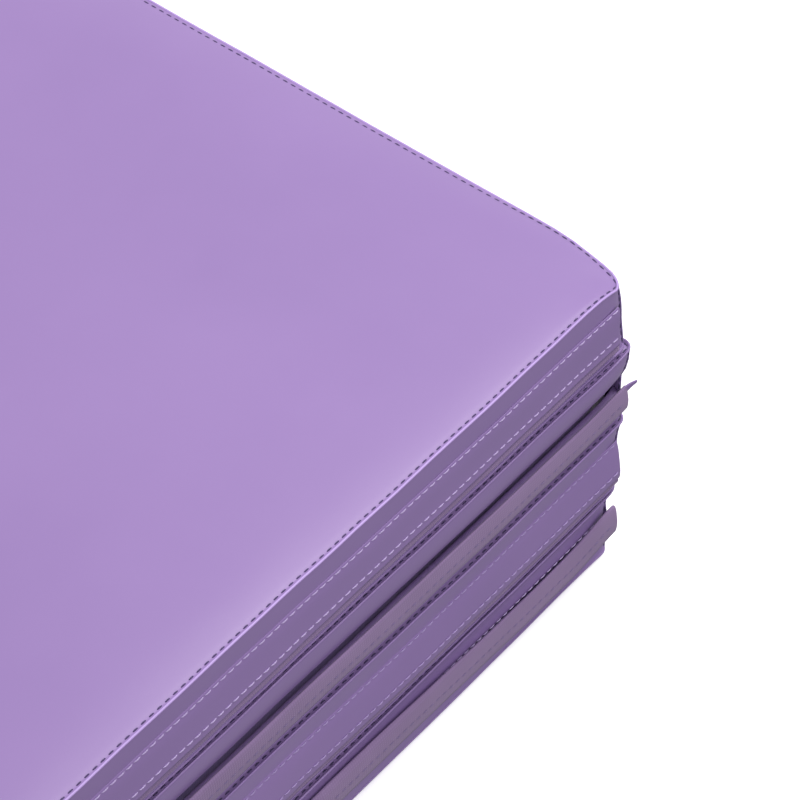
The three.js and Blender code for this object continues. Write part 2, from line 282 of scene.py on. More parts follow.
def inflate(n, rest, quads, seams):
    """Runs the cover as pressurised cloth with its seams held, and returns the points in mm."""
    mesh = bpy.data.meshes.new(f"inflating_{n}")
    mesh.from_pydata((rest * MM).tolist(), [], quads.tolist())
    obj = bpy.data.objects.new(f"inflating_{n}", mesh)
    scene = bpy.context.scene
    scene.collection.objects.link(obj)
    obj.vertex_groups.new(name="seams").add(np.nonzero(seams)[0].tolist(), 1.0, "REPLACE")
    cloth = obj.modifiers.new("cloth", "CLOTH")
    settings = cloth.settings
    settings.quality = 4
    settings.mass = 0.3
    settings.tension_stiffness = settings.compression_stiffness = 25
    settings.shear_stiffness = 8
    settings.bending_stiffness = 1.5
    settings.vertex_group_mass = "seams"
    settings.use_pressure = True
    settings.uniform_pressure_force = 4
    settings.effector_weights.gravity = 0
    cloth.collision_settings.use_collision = False
    cloth.point_cache.frame_start, cloth.point_cache.frame_end = 1, INFLATE_FRAMES
    for frame_number in range(1, INFLATE_FRAMES + 1):
        scene.frame_set(frame_number)
    shaped = obj.evaluated_get(bpy.context.evaluated_depsgraph_get()).to_mesh()
    points = np.empty(len(shaped.vertices) * 3)
    shaped.vertices.foreach_get("co", points)
    bpy.data.objects.remove(obj)
    bpy.data.meshes.remove(mesh)
    scene.frame_set(1)
    return points.reshape(-1, 3) / MM


def swell_caps(n, out):
    """The furthest that inflating may move each point, in mm."""
    below, above = SEAM_DROP_MM[n]
    caps = np.full(len(out), WALL_SWELL_MM)
    caps[out[:, 2] > 0] = above + (CROWN_MM if n == 1 else 0)
    caps[out[:, 2] < 0] = below
    return caps


def seam_distance(flat):
    """Distance along the surface from each point to the nearest sewn edge, in mm."""
    x, y, h = flat.T
    gaps = np.stack([HALF_X - np.abs(x), HALF_Y - np.abs(y), np.minimum(h, THICK - h)], 1)
    gaps.sort(axis=1)
    return gaps[:, 1]


class Cover:
    """The inflated outside of one panel: a lattice of points in metres, in the row frame."""

    def __init__(self, n):
        self.n = n
        self.hs = height_lines(n)
        flat, self.index = lattice(edge_lines(HALF_X, 13), edge_lines(HALF_Y, 20), self.hs)
        out, seams = outward(flat)
        rest = designed_cover(n, flat) - out * (wall_inset(flat) * (out[:, 2] == 0))[:, None]
        caps = swell_caps(n, out)
        self.near_seam = np.exp(-seam_distance(flat) / 5)
        moved = inflate(n, rest, box_quads(self.index), seams) - rest
        size = np.linalg.norm(moved, axis=1)
        share = caps * np.tanh(size / caps) / np.maximum(size, 1e-9)
        points = rest + moved * share[:, None]
        gaps = np.stack([HALF_X - np.abs(flat[:, 0]), HALF_Y - np.abs(flat[:, 1])], 1).min(1)
        in_groove = np.abs(gaps - EDGE_STEPS[DASH_LINE]) < 0.1
        points[:, 2] -= GROOVE_MM * out[:, 2] * in_groove
        if n == 1:
            calm = smooth(seam_distance(flat) / 60) * (out[:, 2] > 0)
            points[:, 2] += 0.3 * calm * waves(77, flat[:, 0], flat[:, 1], 160, 420)
        points[:, 2] += BASE[n]
        self.points = points * MM

    def side(self, name):
        """(grid of points, grid of seam closeness) of one side."""
        ids = {
            "top": self.index[:, :, -1], "bottom": self.index[:, :, 0],
            "front": self.index[:, 0], "back": self.index[:, -1],
            "left": self.index[0], "right": self.index[-1],
        }[name]
        return self.points[ids], self.near_seam[ids]


# ---- Meshes ----
def unit(vectors):
    """Vectors along the last axis, brought to length 1."""
    return vectors / np.maximum(np.linalg.norm(vectors, axis=-1, keepdims=True), 1e-12)


def add_object(name, mesh, material):
    obj = bpy.data.objects.new(name, mesh)
    bpy.context.scene.collection.objects.link(obj)
    mesh.materials.append(material)
    return obj


def smooth_shaded(mesh):
    mesh.polygons.foreach_set("use_smooth", [True] * len(mesh.polygons))
    return mesh


def grid_quads(rows, columns, offset=0, closed=False):
    """Quads over a grid of points; closed joins the last row to the first."""
    i, j = np.meshgrid(np.arange(rows if closed else rows - 1), np.arange(columns - 1), indexing="ij")
    after = (i + 1) % rows
    here, there = i * columns + j, after * columns + j
    return np.stack([here, there, there + 1, here + 1], -1).reshape(-1, 4) + offset


def border(ids):
    """The ids around a grid's border, as one closed run."""
    return np.concatenate([ids[0, :-1], ids[:-1, -1], ids[-1, :0:-1], ids[:0:-1, 0]])


def crease_rims(mesh, rims):
    """Keeps the given loops of vertices where they are when the mesh is subdivided."""
    label = np.zeros(len(mesh.vertices), int)
    for number, rim in enumerate(rims):
        label[rim] = number + 1
    ends = np.empty(len(mesh.edges) * 2, int)
    mesh.edges.foreach_get("vertices", ends)
    a, b = label[ends.reshape(-1, 2)].T
    crease = mesh.attributes.new("crease_edge", "FLOAT", "EDGE")
    crease.data.foreach_set("value", ((a > 0) & (a == b)).astype(np.float32))


def grid_solid(name, outer, inner, material, seam=None, subdivide=1):
    """A closed sheet between two grids of points."""
    rows, columns = outer.shape[:2]
    count = rows * columns
    rim = border(np.arange(count).reshape(rows, columns))
    ahead = np.roll(rim, -1)
    walls = np.stack([rim, ahead, ahead + count, rim + count], 1)
    faces = np.concatenate([grid_quads(rows, columns), grid_quads(rows, columns, count)[:, ::-1], walls])
    middle = (outer - inner)[rows // 2, columns // 2]
    du = outer[rows // 2 + 1, columns // 2] - outer[rows // 2, columns // 2]
    dv = outer[rows // 2, columns // 2 + 1] - outer[rows // 2, columns // 2]
    if np.dot(np.cross(du, dv), middle) < 0:
        faces = faces[:, ::-1]
    mesh = bpy.data.meshes.new(name)
    points = np.concatenate([outer.reshape(-1, 3), inner.reshape(-1, 3)])
    mesh.from_pydata(points.tolist(), [], faces.tolist())
    smooth_shaded(mesh)
    crease_rims(mesh, [rim, rim + count])
    near = mesh.attributes.new("near_seam", "FLOAT", "POINT")
    values = np.zeros(count) if seam is None else seam.reshape(-1)
    near.data.foreach_set("value", np.concatenate([values, values]).astype(np.float32))
    obj = add_object(name, mesh, material)
    if subdivide:
        subdivision = obj.modifiers.new("subdivision", "SUBSURF")
        subdivision.levels = subdivision.render_levels = subdivide
    return obj


def grid_normals(grid):
    """Unit normals of a grid of points."""
    return unit(np.cross(np.gradient(grid, axis=0), np.gradient(grid, axis=1)))


def sheet_from(name, grid, inward, thick_mm, material, seam=None, subdivide=1):
    """A closed sheet whose outside is the grid and whose inside lies thick_mm towards inward."""
    normals = grid_normals(grid)
    middle = normals[grid.shape[0] // 2, grid.shape[1] // 2]
    if np.dot(middle, inward) < 0:
        normals = -normals
    return grid_solid(name, grid, grid + normals * thick_mm * MM, material, seam, subdivide)


def around(first, second, sides):
    """Directions around a ring, for each pair of square-on directions."""
    angles = np.arange(sides) * math.tau / sides
    return np.cos(angles)[None, :, None] * first[:, None] + np.sin(angles)[None, :, None] * second[:, None]


def tube(name, path, radius_mm, material, closed=True, sides=7):
    """A bead swept along a path of points."""
    ahead = np.roll(path, -1, 0) - np.roll(path, 1, 0)
    if not closed:
        ahead[0], ahead[-1] = path[1] - path[0], path[-1] - path[-2]
    ahead = unit(ahead)
    up = np.where(np.abs(ahead[:, 2:3]) > 0.9, [[1.0, 0, 0]], [[0, 0, 1.0]])
    side = unit(np.cross(ahead, up))
    over = np.cross(side, ahead)
    points = path[:, None] + around(side, over, sides) * radius_mm * MM
    count = len(path)
    ids = np.arange(count * sides).reshape(count, sides)
    nxt = np.roll(ids, -1, 0) if closed else ids[1:]
    base = ids if closed else ids[:-1]
    quads = np.stack([base, np.roll(base, -1, 1), np.roll(nxt, -1, 1), nxt], -1).reshape(-1, 4).tolist()
    if not closed:
        quads += [ids[0, ::-1].tolist(), ids[-1].tolist()]
    mesh = bpy.data.meshes.new(name)
    mesh.from_pydata(points.reshape(-1, 3).tolist(), [], quads)
    return add_object(name, smooth_shaded(mesh), material)


# Rings along a stitch, as (place in half lengths, width and lift in radii).
STITCH_RINGS = ((-1.0, 0.35, -0.7), (-0.62, 0.9, 0.0), (0.0, 1.0, 0.3), (0.62, 0.9, 0.0), (1.0, 0.35, -0.7))
TANGENT_REACH = 0.6 * MM


def read_off(values, lengths, where):
    """Rows of values, which lie at lengths along a path, read off at where."""
    return np.stack([np.interp(where, lengths, column) for column in values.T], 1)


def resample(path, normals, pitch_mm):
    """Points, tangents and normals at an even pitch along a path."""
    pitch = pitch_mm * MM
    steps = np.linalg.norm(np.diff(path, axis=0), axis=1)
    lengths = np.concatenate([[0], np.cumsum(steps)])
    where = np.arange(0.5 * pitch, lengths[-1] - 0.25 * pitch, pitch)
    tangents = read_off(path, lengths, where + TANGENT_REACH)
    tangents -= read_off(path, lengths, where - TANGENT_REACH)
    return read_off(path, lengths, where), unit(tangents), unit(read_off(normals, lengths, where))


def stitches(
    name, runs, material, length_mm=4.1, radius_mm=0.52, pitch_mm=THREAD_PITCH_MM, across=False, sides=5
):
    """Stitches along runs of (path, normals or one normal), each a small bead that dips into the cloth."""
    vertices, faces, offset = [], [], 0
    for path, normals in runs:
        centres, lengthwise, out = resample(path, np.broadcast_to(normals, path.shape), pitch_mm)
        side = np.cross(out, lengthwise)
        if across:
            lengthwise, side = side, lengthwise
        rings = []
        for place, width, lift in STITCH_RINGS:
            centre = centres + lengthwise * place * length_mm / 2 * MM + out * lift * radius_mm * MM
            ring = around(side, out, sides)
            rings.append(centre[:, None] + ring * width * radius_mm * MM)
        block = np.stack(rings, 1)
        count, levels = block.shape[:2]
        ids = np.arange(count * levels * sides).reshape(count, levels, sides) + offset
        beside = np.roll(ids, -1, 2)
        quads = np.stack([ids[:, :-1], beside[:, :-1], beside[:, 1:], ids[:, 1:]], -1)
        faces += quads.reshape(-1, 4)[:, ::-1].tolist() + ids[:, 0].tolist() + ids[:, -1, ::-1].tolist()
        vertices.append(block.reshape(-1, 3))
        offset += count * levels * sides
    mesh = bpy.data.meshes.new(name)
    mesh.from_pydata(np.concatenate(vertices).tolist(), [], faces)
    return add_object(name, smooth_shaded(mesh), material)


# ---- Materials ----
RANGE_SOCKETS = ("From Min", "From Max", "To Min", "To Max")


class Nodes:
    """A material's node tree with short calls for its textures, which all lie in object space."""

    def __init__(self, name, **values):
        self.material = bpy.data.materials.new(name)
        self.material.use_nodes = True
        self.tree = self.material.node_tree
        self.shader = self.tree.nodes["Principled BSDF"]
        self.coordinates = self.add("ShaderNodeTexCoord").outputs["Object"]
        for socket, value in values.items():
            self.shader.inputs[socket.replace("_", " ")].default_value = value

    def add(self, kind, **settings):
        node = self.tree.nodes.new(kind)
        for name, value in settings.items():
            setattr(node, name, value)
        return node

    def join(self, output, socket):
        self.tree.links.new(output, socket)

    def stretched(self, scale):
        node = self.add("ShaderNodeMapping")
        node.inputs["Scale"].default_value = scale
        self.join(self.coordinates, node.inputs["Vector"])
        return node.outputs["Vector"]

    def noise(self, scale, detail=3, roughness=0.55, vector=None):
        node = self.add("ShaderNodeTexNoise")
        node.inputs["Scale"].default_value = scale
        node.inputs["Detail"].default_value = detail
        node.inputs["Roughness"].default_value = roughness
        self.join(vector or self.coordinates, node.inputs["Vector"])
        return node.outputs["Fac"]

    def cells(self, scale, vector=None):
        node = self.add("ShaderNodeTexVoronoi", feature="SMOOTH_F1")
        node.inputs["Scale"].default_value = scale
        node.inputs["Smoothness"].default_value = 0.6
        self.join(vector or self.coordinates, node.inputs["Vector"])
        return node.outputs["Distance"]

    def bands(self, scale, direction, vector=None):
        node = self.add("ShaderNodeTexWave", wave_type="BANDS", bands_direction=direction)
        node.inputs["Scale"].default_value = scale
        self.join(vector or self.coordinates, node.inputs["Vector"])
        return node.outputs["Fac"]

    def attribute(self, name):
        return self.add("ShaderNodeAttribute", attribute_name=name).outputs["Fac"]

    def math(self, operation, a, b):
        node = self.add("ShaderNodeMath", operation=operation)
        for socket, value in zip(node.inputs, (a, b)):
            if isinstance(value, (int, float)):
                socket.default_value = value
            else:
                self.join(value, socket)
        return node.outputs[0]

    def ranged(self, factor, low, high, from_low=0.3, from_high=0.7):
        node = self.add("ShaderNodeMapRange")
        for socket, value in zip(RANGE_SOCKETS, (from_low, from_high, low, high)):
            node.inputs[socket].default_value = value
        self.join(factor, node.inputs["Value"])
        return node.outputs["Result"]

    def mixed(self, factor, first, second):
        node = self.add("ShaderNodeMix", data_type="RGBA")
        for socket, value in ((node.inputs[6], first), (node.inputs[7], second)):
            if isinstance(value, tuple):
                socket.default_value = (*value, 1)
            else:
                self.join(value, socket)
        self.join(factor, node.inputs[0])
        return node.outputs[2]

    def bump(self, height, distance_mm, strength=1.0, under=None):
        node = self.add("ShaderNodeBump")
        node.inputs["Strength"].default_value = strength
        node.inputs["Distance"].default_value = distance_mm * MM
        self.join(height, node.inputs["Height"])
        if under is not None:
            self.join(under, node.inputs["Normal"])
        return node.outputs["Normal"]

    def finish(self, colour=None, roughness=None, normal=None):
        for value, socket in ((colour, "Base Color"), (roughness, "Roughness"), (normal, "Normal")):
            if value is not None:
                self.join(value, self.shader.inputs[socket])
        return self.material


def vinyl_material(name, light, dark, seam_highlight):
    """Glossy leather-grained vinyl; near its seams it is painted paler, a painted highlight on the folded
    edges broken up by scuff wear, and it has slow waves in its gloss.
    """
    m = Nodes(name, Coat_Weight=0.05, Coat_Roughness=0.2, Specular_IOR_Level=0.38)
    tone = m.ranged(m.noise(5.5, 4), 0, 1)
    colour = m.mixed(tone, dark, light)
    scuffs = m.ranged(m.noise(60, 5, 0.7), 0, 1, 0.52, 0.72)
    # Painted highlight: the colour turns paler close to the seams, more so where the scuff noise is high.
    near_seam = m.attribute("near_seam")
    highlight_and_scuffs = m.math("ADD", 0.35, m.math("MULTIPLY", scuffs, 0.4))
    edge = m.math("MULTIPLY", near_seam, highlight_and_scuffs)
    colour = m.mixed(edge, colour, seam_highlight)
    rough = m.ranged(m.noise(14, 4), 0.30, 0.39)
    rough = m.math("ADD", rough, m.math("MULTIPLY", scuffs, 0.03))
    grain = m.bump(m.cells(720), 0.05, 0.35)
    grain = m.bump(m.noise(1900, 2), 0.02, 0.3, grain)
    waviness = m.bump(m.noise(16, 2), 0.5, 0.25, grain)
    return m.finish(colour, rough, waviness)


def woven_material(name, light, dark, thread_mm, roughness, sheen=0.2, axes=("X", "Z")):
    """Plain-woven cloth with its threads along two axes."""
    m = Nodes(name, Roughness=roughness, Sheen_Weight=sheen, Sheen_Roughness=0.5, Specular_IOR_Level=0.3)
    scale = math.pi / (20 * thread_mm * MM)  # bands lie pi / (10 * scale) apart: two threads
    warp, weft = (m.bands(scale, axis) for axis in axes)
    weave = m.math("MULTIPLY", warp, weft)
    fuzz = m.noise(420, 4, 0.7)
    tone = m.math("ADD", m.math("MULTIPLY", weave, 0.55), m.math("MULTIPLY", m.noise(30, 3), 0.6))
    colour = m.mixed(tone, dark, light)
    normal = m.bump(weave, thread_mm * 0.35, 0.7)
    normal = m.bump(fuzz, 0.12, 0.5, normal)
    return m.finish(colour, None, normal)


def thread_material(name, colour, dark):
    m = Nodes(name, Roughness=0.55, Sheen_Weight=0.15, Specular_IOR_Level=0.4)
    twist = m.bands(520, "DIAGONAL")
    shade = m.mixed(m.math("MULTIPLY", twist, 0.6), colour, dark)
    return m.finish(shade, None, m.bump(twist, 0.08, 0.6))


def foam_material():
    m = Nodes("closed_cell_foam", Roughness=0.85, Specular_IOR_Level=0.25)
    cells = m.cells(420)
    colour = m.mixed(m.ranged(cells, 0, 1, 0.1, 0.6), (0.74, 0.73, 0.78), (0.86, 0.85, 0.88))
    return m.finish(colour, None, m.bump(cells, 0.4, 0.6))


def enamel_material():
    m = Nodes("zip_enamel", Metallic=0.55, Coat_Weight=0.3, Coat_Roughness=0.2)
    wear = m.ranged(m.noise(900, 4, 0.7), 0, 1, 0.5, 0.7)
    colour = m.mixed(wear, (0.075, 0.06, 0.11), (0.20, 0.18, 0.25))
    rough = m.ranged(m.noise(300, 3), 0.26, 0.42)
    return m.finish(colour, rough, m.bump(m.noise(1300, 3), 0.03, 0.4))


def pile_material(name, dark, light, fibre_scale, depth_mm):
    """Hook or loop tape: a dense pile of short fibres."""
    m = Nodes(name, Roughness=0.95, Sheen_Weight=0.35, Sheen_Roughness=0.6, Specular_IOR_Level=0.2)
    fibres = m.math("MULTIPLY", m.cells(fibre_scale), m.noise(fibre_scale * 1.7, 4, 0.8))
    colour = m.mixed(m.ranged(fibres, 0, 1, 0.05, 0.4), dark, light)
    return m.finish(colour, None, m.bump(fibres, depth_mm, 0.9))


def floor_material():
    m = Nodes("studio_floor", Roughness=0.85, Specular_IOR_Level=0.2, Emission_Strength=0.42)
    m.shader.inputs["Emission Color"].default_value = (1, 1, 1, 1)
    return m.finish(m.mixed(m.ranged(m.noise(3, 2), 0, 1), (0.90, 0.90, 0.90), (0.91, 0.91, 0.91)))


VINYL = vinyl_material(
    "lavender_vinyl", light=(0.300, 0.196, 0.432), dark=(0.276, 0.180, 0.404), seam_highlight=(0.335, 0.225, 0.472)
)
# A much paler copy of the vinyl: on panel 1's upper seam bead it is a painted highlight along the folded top
# edge; the handle patches use it as their pale vinyl.
PALE_VINYL_PATCHES_AND_HIGHLIGHT = vinyl_material(
    "pale_vinyl_patch_and_painted_highlight", light=(0.50, 0.355, 0.70), dark=(0.45, 0.315, 0.64), seam_highlight=(0.54, 0.40, 0.74)
)
BACKING = woven_material("vinyl_backing_cloth", (0.335, 0.228, 0.41), (0.235, 0.158, 0.29), 0.7, 0.8)
TAPE = woven_material("zip_tape_cloth", (0.27, 0.18, 0.42), (0.16, 0.105, 0.27), 0.6, 0.8)
WEBBING = woven_material("webbing_cloth", (0.13, 0.08, 0.25), (0.055, 0.03, 0.12), 1.5, 0.75, 0.3, ("Y", "Z"))
# Near-black thread: dark violet thread, made darker still as painted shade of the groove that the edge
# stitches sink into.
DARK_THREAD_AND_GROOVE_SHADE = thread_material("dark_thread_and_painted_groove_shade", (0.065, 0.038, 0.135), (0.035, 0.02, 0.075))
PALE_THREAD = thread_material("pale_thread", (0.60, 0.48, 0.76), (0.42, 0.33, 0.56))
# A darker copy of the pale thread: painted shade on panel 3's flap stitching.
SHADED_PALE_THREAD = thread_material("pale_thread_painted_shade", (0.44, 0.33, 0.60), (0.31, 0.225, 0.44))
HEM_THREAD = thread_material("hem_thread", (0.22, 0.165, 0.32), (0.15, 0.11, 0.22))
COIL = thread_material("zip_coil", (0.16, 0.12, 0.30), (0.08, 0.06, 0.15))
FOAM = foam_material()
ENAMEL = enamel_material()
HOOKS = pile_material("hook_tape", (0.018, 0.016, 0.024), (0.07, 0.065, 0.085), 900, 0.5)
LOOPS = pile_material("loop_tape", (0.02, 0.018, 0.028), (0.09, 0.08, 0.11), 520, 0.8)


def done(obj, body, slot, *nodes):
    """Rides obj on a body and hides the CAD nodes that it stands for; slot is not used."""
    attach(obj, body)
    if nodes:
        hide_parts(*nodes)
    return obj


# ---- Panels ----
def cover_sheet(n, name, node, grid, near, inward):
    """One vinyl sheet of a panel's cover, which stands for a CAD node."""
    sheet = sheet_from(f"panel{n}_{name}_cloth", grid, inward, SHEET_MM, VINYL, near)
    done(sheet, f"panel{n}", "vinyl", f"panel{n}_{node}")


LIP_ROWS_MM = ((1.4, 0.6), (4.2, 0.8))  # how far each row of a lip lies inside the wall and past its edge


def lipped(grid, near, at, lip_sign):
    """Adds two rows to a wall strip's edge, where it turns in towards the zip tape."""
    edge = grid[:, at]
    rows = [edge + np.array([0, inside, past * lip_sign]) * MM for inside, past in LIP_ROWS_MM]
    blank = near[:, at] * 0
    if at == 0:
        return np.stack([rows[1], rows[0], *grid.swapaxes(0, 1)], 1), np.stack([blank, blank, *near.T], 1)
    return np.stack([*grid.swapaxes(0, 1), *rows], 1), np.stack([*near.T, blank, blank], 1)


def make_front(cover):
    """The two strips of the zip side's wall."""
    n = cover.n
    grid, near = cover.side("front")
    low, high = slot_of(n)
    lower = cover.hs <= (low - LOWERED_STRIP_MM if n in FLIPPED else low) + 1e-3
    upper = cover.hs >= high - 1e-3
    names = ("top", "bottom") if n in FLIPPED else ("bottom", "top")
    for name, rows, at, lip in ((names[0], lower, -1, 1), (names[1], upper, 0, -1)):
        part, close = lipped(grid[:, rows], near[:, rows], at, lip)
        cover_sheet(n, f"front_{name}", f"front_strip_{name}", part, close, (0, 1, 0))


def make_faces(cover):
    """The top and bottom sheets, and the left, right and back walls."""
    n = cover.n
    names = {"top": "bottom", "bottom": "top"} if n in FLIPPED else {"top": "top", "bottom": "bottom"}
    for side, inward in (("top", (0, 0, -1)), ("bottom", (0, 0, 1))):
        grid, near = cover.side(side)
        cover_sheet(n, names[side], f"{names[side]}_sheet", grid, near, inward)
    for side, inward in (("left", (1, 0, 0)), ("right", (-1, 0, 0)), ("back", (0, -1, 0))):
        grid, near = cover.side(side)
        cover_sheet(n, side, f"wall_{side}", grid, near, inward)


def make_core(cover):
    """The foam slab, a little inside the cover and behind the zip."""
    n = cover.n
    centre = np.array([0, 0, (BASE[n] + THICK / 2) * MM])
    half = np.array([HALF_X, HALF_Y, THICK / 2]) * MM
    points = centre + (cover.points - centre) * (1 - np.array([4.2, 4.2, 2.6]) * MM / half)
    points[:, 1] = np.maximum(points[:, 1], -(HALF_Y - 6.6) * MM)
    mesh = bpy.data.meshes.new(f"panel{n}_foam")
    mesh.from_pydata(points.tolist(), [], box_quads(cover.index).tolist())
    core = add_object(f"panel{n}_foam", smooth_shaded(mesh), FOAM)
    done(core, f"panel{n}", "foam", f"panel{n}_foam_core")


def make_seams(cover):
    """The folded beads along the sewn edges."""
    n, index = cover.n, cover.index
    for name, level in (("upper", -1), ("lower", 0)):
        path = cover.points[border(index[:, :, level].T)]
        # Panel 1's upper bead takes the pale vinyl, a painted highlight along its top edge.
        bead = tube(f"panel{n}_{name}_seam", path, 0.65, PALE_VINYL_PATCHES_AND_HIGHLIGHT if (n, name) == (1, "upper") else VINYL)
        done(bead, f"panel{n}", "vinyl")
    for j, end in ((0, "front"), (-1, "back")):
        for i, side in ((-1, "right"), (0, "left")):
            bead = tube(f"panel{n}_{end}_{side}_seam", cover.points[index[i, j]], 0.6, VINYL, closed=False)
            done(bead, f"panel{n}", "vinyl")


def make_edge_stitching(cover):
    """Dark thread along every sewn edge, on the flat side of each; its near-black colour also paints the
    shade of the stitch groove.
    """
    n, index, k = cover.n, cover.index, DASH_LINE
    runs = []
    for level, up in ((-1, 1.0), (0, -1.0)):
        inner = index[k:-k, k:-k, level]
        path = cover.points[np.append(border(inner.T), inner[0, 0])]
        runs.append((path, (0, 0, up)))
    for sx, edge, inside in ((-1, 0, k), (1, -1, -k - 1)):
        for sy, end, near in ((-1, 0, k), (1, -1, -k - 1)):
            ends_row = inside, end, (0.57 * sx, 0.82 * sy, 0)
            sides_row = edge, near, (0.82 * sx, 0.57 * sy, 0)
            for i, j, facing in (ends_row, sides_row):
                runs.append((cover.points[index[i, j, 1:-1]], facing))
    done(stitches(f"panel{n}_edge_stitching", runs, DARK_THREAD_AND_GROOVE_SHADE), f"panel{n}", "vinyl")


# ---- Zips and their flaps ----
FLAP_ENDS_MM = {1: (-246, 290), 2: (-246, 299), 3: (-246, 296), 4: (-246, 299)}
ROOT_END_MM = {2: 304, 4: 299}  # the free end of a fallen flap's root curls out past the corner
# Centre lines as (height above the underside, distance outside the wall).
CLOSED_FLAP = [
    (34.4, 0.1), (33.0, 0.35), (30.5, 0.75), (26.7, 0.95), (22, 0.95), (14.6, 1.05), (12, 1.15), (9.4, 1.4),
]
BINDING = [(14.2, 0.35), (11, 0.4), (9, 0.55), (7.2, 0.9), (5.6, 1.3)]
CREST_MM = {  # (x, height above the underside) of a fallen flap's crest
    2: [(78, 23.4), (129, 22.2), (182, 21.8), (236, 21.0), (268, 20.6), (292, 21.8), (304, 22.6)],
    4: [(78, 33.3), (129, 32.3), (182, 30.0), (236, 28.2), (268, 28.7), (292, 32.0)],
}
# The two legs of a fallen flap, as (height above its crest, distance outside the wall).
ROOT_LEG = [(-7.4, 0.9), (-4, 1.0), (-1.6, 1.05), (-0.35, 1.25)]
HANGING_LEG = [
    (0.15, 1.55), (-0.9, 2.15), (-2.6, 2.45), (-5.2, 2.7), (-8.0, 2.9), (-11.4, 2.75), (-14.6, 2.35),
]
LEG_STRETCH = {2: 1.0, 4: 1.24}  # how much longer the hanging leg is than HANGING_LEG
CURL_MM = 8.0  # length of the curled end of panel 2's root


def ribbon(name, xs, n, line, thick, material, subdivide=1):
    """A closed strip along the front; line gives (height, outside the wall) at each x, in mm."""
    rows = []
    for x in xs:
        h, out = (np.array(v, float) for v in zip(*line(x)))
        rows.append(np.stack([np.full(len(h), x), -HALF_Y - front_out(n, x, h) - out, BASE[n] + h], 1))
    middle = np.array(rows) * MM
    normals = grid_normals(middle)
    if normals[len(xs) // 2, 1, 1] > 0:
        normals = -normals
    half = (np.asarray(thick, float) / 2 * MM)[None, :, None]
    obj = grid_solid(name, middle + normals * half, middle - normals * half, material, None, subdivide)
    return obj, middle + normals * half, normals


def flap_stations(start, end):
    """Where a flap's rows lie along x, closer together towards its free end."""
    return np.concatenate([np.arange(start, end - 12, 10.0), [end - 9, end - 4, end - 1.5, end]])


def flap_wander(n, x, t):
    """Small waves in a flap, more towards its free edge (t from 0 to 1)."""
    return 0.45 * t * waves(60 + n, x, 0, 60, 190)


def closed_flap_line(n):
    """A function of x that gives a closed flap's centre line there."""
    heights, outs = np.array(CLOSED_FLAP).T
    t = (heights[0] - heights) / (heights[0] - heights[-1])

    def line(x):
        return list(zip(heights + flap_wander(n, x, t) * 0.5, outs + np.abs(flap_wander(n + 7, x, t))))

    return line


def hanging_leg_line(n):
    """A function of x that gives the centre line of a fallen flap's hanging leg there."""
    drops, outs = np.array(HANGING_LEG).T * [[LEG_STRETCH[n]], [1]]
    t = np.clip(-drops / 19, 0, 1)

    def line(x):
        heights = np.interp(x, *zip(*CREST_MM[n])) + drops + flap_wander(n, x, t) * 0.8
        return list(zip(heights, outs + np.abs(flap_wander(n + 7, x, t))))

    return line


def root_leg_line(n):
    """A function of x that gives the centre line of a fallen flap's root there."""
    drops, outs = np.array(ROOT_LEG).T

    def line(x):
        curl = min(max((x - ROOT_END_MM[n] + CURL_MM) / CURL_MM, 0.0), 1.0) if n == 2 else 0.0
        heights = np.interp(x, *zip(*CREST_MM[n])) + 1.5 * curl + drops * (1 - 0.8 * curl)
        return list(zip(heights, outs + 4.0 * curl**1.5))

    return line


def along(points, normals, column, nudge_mm=0.0):
    """A run for stitches along one column of a ribbon's outside."""
    inside = slice(1, -1)
    return points[inside, column] + normals[inside, column] * nudge_mm * MM, normals[inside, column]


def make_closed_flap(n):
    """A flap that hangs over the zip, with the binding that edges it."""
    start, end = FLAP_ENDS_MM[n]
    xs = flap_stations(start, end)
    thick = [0.2, 0.7, 1.0, 1.0, 1.1, 1.3, 1.3, 1.2]
    flap, outside, normals = ribbon(f"panel{n}_flap_cloth", xs, n, closed_flap_line(n), thick, VINYL)
    thick = [0.5, 0.7, 0.8, 0.9, 0.9]
    binding, _, _ = ribbon(f"panel{n}_flap_binding", xs, n, lambda _: BINDING, thick, BACKING)
    done(binding, f"flap{n}", "vinyl_reverse")
    done(flap, f"flap{n}", "vinyl", f"panel{n}_zip_flap")
    # Panel 3's flap stitches take the darker copy of the pale thread, painted shade.
    thread = PALE_THREAD if n == 1 else SHADED_PALE_THREAD
    hem = stitches(f"panel{n}_flap_hem_stitching", [along(outside, normals, 5, 0.12)], thread, 4.4, 0.4)
    root = stitches(f"panel{n}_flap_root_stitching", [along(outside, normals, 1, 0.12)], thread, 4.4, 0.4)
    done(hem, f"flap{n}", "vinyl")
    done(root, f"panel{n}", "vinyl")


def make_fallen_flap(n):
    """A flap that has fallen open: its root goes up the wall to a crest, and the rest hangs from there."""
    start, end = FLAP_ENDS_MM[n]
    xs, root_xs = flap_stations(start, end), flap_stations(start, ROOT_END_MM[n])
    root, _, _ = ribbon(f"panel{n}_flap_root_cloth", root_xs, n, root_leg_line(n), [0.8] * 4, VINYL)
    done(root, f"panel{n}", "vinyl")
    thick = [0.9, 1.0, 1.0, 1.1, 1.7, 1.8, 1.7]
    flap, outside, normals = ribbon(f"panel{n}_flap_cloth", xs, n, hanging_leg_line(n), thick, BACKING)
    done(flap, f"flap{n}", "vinyl_reverse", f"panel{n}_zip_flap")
    hem = stitches(f"panel{n}_flap_hem_stitching", [along(outside, normals, 4)], HEM_THREAD, 3.4, 0.3)
    done(hem, f"flap{n}", "vinyl_reverse")


